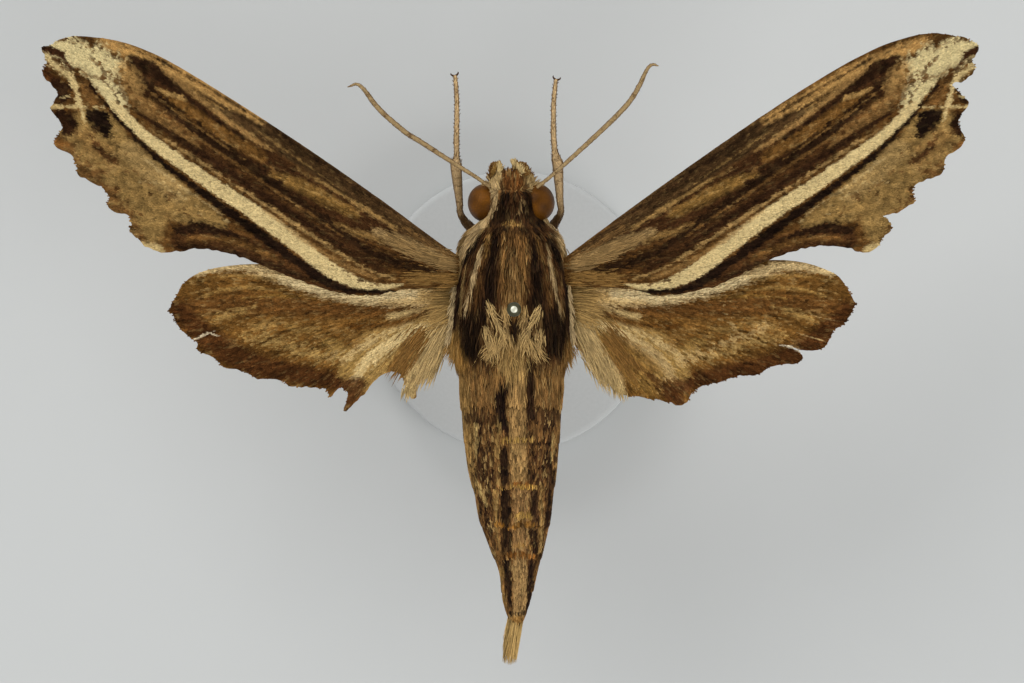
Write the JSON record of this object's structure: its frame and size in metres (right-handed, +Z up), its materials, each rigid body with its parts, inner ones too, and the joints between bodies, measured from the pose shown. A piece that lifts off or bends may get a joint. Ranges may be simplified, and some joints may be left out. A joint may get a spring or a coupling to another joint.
{
  "type": "spread hawk moth specimen",
  "caption": "Life-size set hawk moth with spread patterned wings, level on an insect pin that stands in a small plain round base.",
  "frame": {"origin": "centre of the base's underside, on the pin's axis", "axes": "+Z up along the pin and out of the moth's back, +Y towards its head, +X to its right across the spread wings"},
  "size_m": [0.0708, 0.0479, 0.0392],
  "materials": {
    "stand": "plain pale grey, matt",
    "pin": "dull steel wire with a darkened head",
    "body_scales": "dark brown hair scales with cream lines",
    "abdomen_scales": "golden brown scales streaked with dark brown",
    "tuft": "tan hair scales",
    "wing_scales": "brown, black and cream powdery scales",
    "hindwing_scales": "brown powdery scales with gold streaks",
    "eye": "brown, finely facetted, slightly glossy",
    "limb": "tan scales over dried cuticle"
  },
  "bodies": {
    "root": {"stand_base": "stand", "pin": "pin", "head": "body_scales", "eye_left": "eye", "eye_right": "eye", "antenna_left": "limb", "antenna_right": "limb", "palp_left": "body_scales", "palp_right": "body_scales", "proboscis": "limb", "thorax": "body_scales", "abdomen": "abdomen_scales", "tail_tuft": "tuft", "forewing_left": "wing_scales", "forewing_right": "wing_scales", "hindwing_left": "hindwing_scales", "hindwing_right": "hindwing_scales", "foreleg_left": "limb", "foreleg_right": "limb", "midleg_left": "limb", "midleg_right": "limb", "hindleg_left": "limb", "hindleg_right": "limb"}
  },
  "joints": []
}
